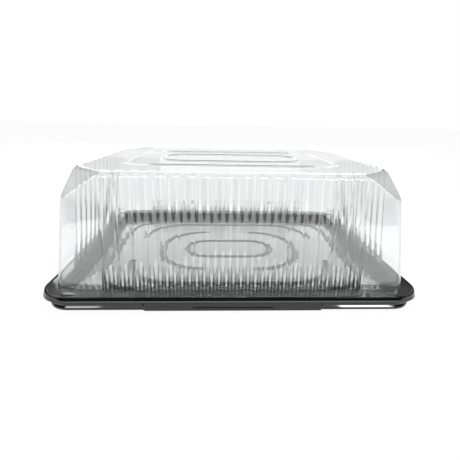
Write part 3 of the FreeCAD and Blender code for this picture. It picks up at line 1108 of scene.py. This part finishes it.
@dataclass
class Studio:
    """The pale floor, the white surround, the flags, the lamps and the camera.

    Lengths are in metres, except for the camera's sensor, and angles in degrees. The upper cards are given by
    their middle, half width and tone.
    """

    focal_pixels: float = 317.3
    sensor: float = 36.0
    near_clip: float = 0.01
    eye: Triple = (-0.0160, -0.4031, 0.1771)
    yaw: float = 2.41
    pitch: float = 19.80
    roll: float = -1.18
    surround: float = 0.75
    floor_half: float = 6.0
    floor_tone: float = 0.97
    floor_roughness: float = 0.9
    floor_glow: float = 0.9
    tent_half: float = 1.3
    tent_front: float = -1.35
    tent_back: float = 1.84
    tent_height: float = 1.2
    side_card_top: float = 0.16
    side_card_tone: float = 0.55
    back_card_top: float = 0.36
    back_card_tone: float = 0.98
    upper_card_top: float = 0.52
    upper_cards: tuple[Triple, ...] = ((-0.86, 0.44, 0.74), (0.07, 0.49, 0.98), (0.93, 0.37, 0.80))

    def build(self) -> None:
        """Set up everything round the object."""
        bpy.context.scene.view_settings.view_transform = "Standard"
        self._world()
        self._floor()
        for thing in (*self._flags(), *self._lamps()):
            thing.hang()
        self._camera()

    def _flags(self) -> list[Flag]:
        """List the dark flags of the tent, and the pale cards at its sides and back.

        Returns:
            The flags and cards.
        """
        back, wide = self.tent_back, self.tent_half
        middle, depth = (back + self.tent_front) / 2.0, (back - self.tent_front) / 2.0
        high, low = self.tent_height / 2.0, self.side_card_top / 2.0
        flags = [Flag("front_flag", (0.0, self.tent_front, high), wide, high, Turn.ACROSS)]
        for name, edge in (("left_flag", -wide), ("right_flag", wide)):
            card = name + "_card"
            flags.append(Flag(name, (edge, middle, high + low), depth, high - low, Turn.ALONG))
            flags.append(Flag(card, (edge, middle, low), depth, low, Turn.ALONG, self.side_card_tone))
        flags.append(Flag("top_flag", (0.0, middle, self.tent_height), wide, depth, Turn.LEVEL))
        low, high = self.back_card_top / 2.0, self.upper_card_top / 2.0
        flags.append(Flag("back_card", (0.0, back, low), wide, low, Turn.ACROSS, self.back_card_tone))
        for centre, half, tone in self.upper_cards:
            flags.append(Flag("upper_card", (centre, back, high + low), half, high - low, Turn.ACROSS, tone))
        return flags

    def _lamps(self) -> list[Lamp]:
        """List the lamps.

        Returns:
            The lamps, each with its place, aim, size and power.
        """
        back = self.tent_back
        lamps = [
            Lamp("overhead", (0.1, 0.25, 1.1), (0.0, 0.05, 0.0), (0.9, 0.9), 1.5),
            Lamp("front_panel", (0.0, -0.72, 0.01), (0.0, -0.72, 1.0), (2.0, 1.1), 5.0, Outline.ELLIPSE),
            Lamp("low_strip", (0.0, -0.192, 0.012), (0.0, -0.192, 1.0), (0.335, 0.06), 0.085),
            Lamp("back_panel", (0.0, back, 0.85), (0.0, 0.0, 0.85), (2.6, 0.64), 12.0),
            Lamp("front_strip", (0.0, -0.95, 0.52), (0.0, -0.14, 0.0), (1.6, 0.4), 2.6),
        ]
        for hand, power in zip(HANDS, (1.5, 4.8)):
            side, soft = (hand * 0.92, -0.38, 0.69), (hand * 0.57, -0.95, 0.50)
            lamps.append(Lamp("side_box", side, (hand * 0.15, -0.11, 0.11), (0.3, 0.3), 2.0))
            lamps.append(Lamp("soft_box", soft, (hand * 0.13, -0.14, 0.0), (0.18, 0.36), power))
        return lamps

    def _world(self) -> None:
        """Make the white surround."""
        world = bpy.data.worlds.new("surround")
        bpy.context.scene.world = world
        world.use_nodes = True
        nodes, links = world.node_tree.nodes, world.node_tree.links
        back = nodes["Background"]
        back.inputs["Color"].default_value = (1.0, 1.0, 1.0, 1.0)
        path = nodes.new("ShaderNodeLightPath")
        level = nodes.new("ShaderNodeMapRange")
        level.inputs["To Min"].default_value = self.surround
        links.new(path.outputs["Is Camera Ray"], level.inputs["Value"])
        links.new(level.outputs["Result"], back.inputs["Strength"])

    def _floor(self) -> None:
        """Lay the floor: white to look at, with the object's soft shadow."""
        bm = bmesh.new()
        bmesh.ops.create_grid(bm, x_segments=1, y_segments=1, size=self.floor_half)
        material = plain_paint("pale_floor", self.floor_tone)
        nodes, links = material.node_tree.nodes, material.node_tree.links
        paint = nodes["Principled BSDF"]
        paint.inputs["Roughness"].default_value = self.floor_roughness
        path = nodes.new("ShaderNodeLightPath")
        seen = path.outputs["Is Camera Ray"]
        for ray in ("Is Glossy Ray", "Is Transmission Ray"):
            either = nodes.new("ShaderNodeMath")
            either.operation = "MAXIMUM"
            links.new(seen, either.inputs[0])
            links.new(path.outputs[ray], either.inputs[1])
            seen = either.outputs[0]
        share = nodes.new("ShaderNodeMath")
        share.operation = "MULTIPLY"
        share.inputs[1].default_value = self.floor_glow
        links.new(seen, share.inputs[0])
        mix_surfaces(material, share.outputs[0], paint, nodes.new("ShaderNodeEmission"))
        floor = link_mesh("floor", bm, [material])

    def _camera(self) -> None:
        """Place the camera at the photograph's viewpoint."""
        yaw, pitch, roll = (math.radians(angle) for angle in (self.yaw, self.pitch, self.roll))
        ahead = Vector((math.sin(yaw) * math.cos(pitch), math.cos(yaw) * math.cos(pitch), -math.sin(pitch)))
        right = Vector((math.cos(yaw), -math.sin(yaw), 0.0))
        down = ahead.cross(right)
        across = right * math.cos(roll) + down * math.sin(roll)
        below = down * math.cos(roll) - right * math.sin(roll)
        camera = bpy.data.cameras.new("camera")
        camera.lens = self.focal_pixels * self.sensor / PHOTO_PIXELS
        camera.sensor_width = self.sensor
        camera.clip_start = self.near_clip
        holder = bpy.data.objects.new("camera", camera)
        turn = Matrix((across, -below, -ahead)).transposed()
        holder.matrix_world = Matrix.Translation(self.eye) @ turn.to_4x4()
        bpy.context.scene.collection.objects.link(holder)
        bpy.context.scene.camera = holder


CLEAR = ClearSheet(
    name="clear_sheet", slot="clear_plastic", low=(0.95, 0.965, 0.97), high=(0.985, 0.99, 0.99),
    sheen_low=0.01, sheen_high=0.05, waver=0.05, index=1.57,
)
# The folds and roots: a darker copy of the clear sheet, darker still towards the foot, painted shade in the
# creases and the gaps between the flutes' feet.
FOLD = replace(
    CLEAR, name="clear_fold_shaded", low=(0.90, 0.91, 0.91), high=(0.95, 0.955, 0.955),
    sheen_low=0.02, sheen_high=0.06, foot_shade=0.35, foot_level=33.0,
)
# The flange: a darker copy of the clear sheet, painted shade that dims the seat seen through it.
FLANGE = replace(
    CLEAR, name="clear_flange_shaded", low=(0.66, 0.67, 0.67), high=(0.72, 0.73, 0.73),
    sheen_low=0.04, sheen_high=0.07, waver=0.03, index=1.46,
)
BLACK = BlackSheet(
    name="black_sheet", slot="black_plastic", low=(0.0015, 0.0015, 0.0018), high=(0.005, 0.005, 0.0055),
    sheen_low=0.03, sheen_high=0.08, waver=0.08, index=1.59,
)
SATIN = replace(BLACK, name="satin_sheet", sheen_low=0.36, sheen_high=0.46)


def main() -> None:
    """Build the container and the studio, and note the sizes."""
    logging.basicConfig(level=logging.INFO, format="%(name)s: %(message)s")
    for builder in (BaseTray(BLACK, SATIN), DomeLid(CLEAR, FOLD, FLANGE)):
        piece = builder.build()
        LOG.info("%s: %d faces before its modifiers", piece.name, len(piece.data.polygons))
    Studio().build()
    bpy.context.view_layer.update()


if __name__ == "__main__":
    main()
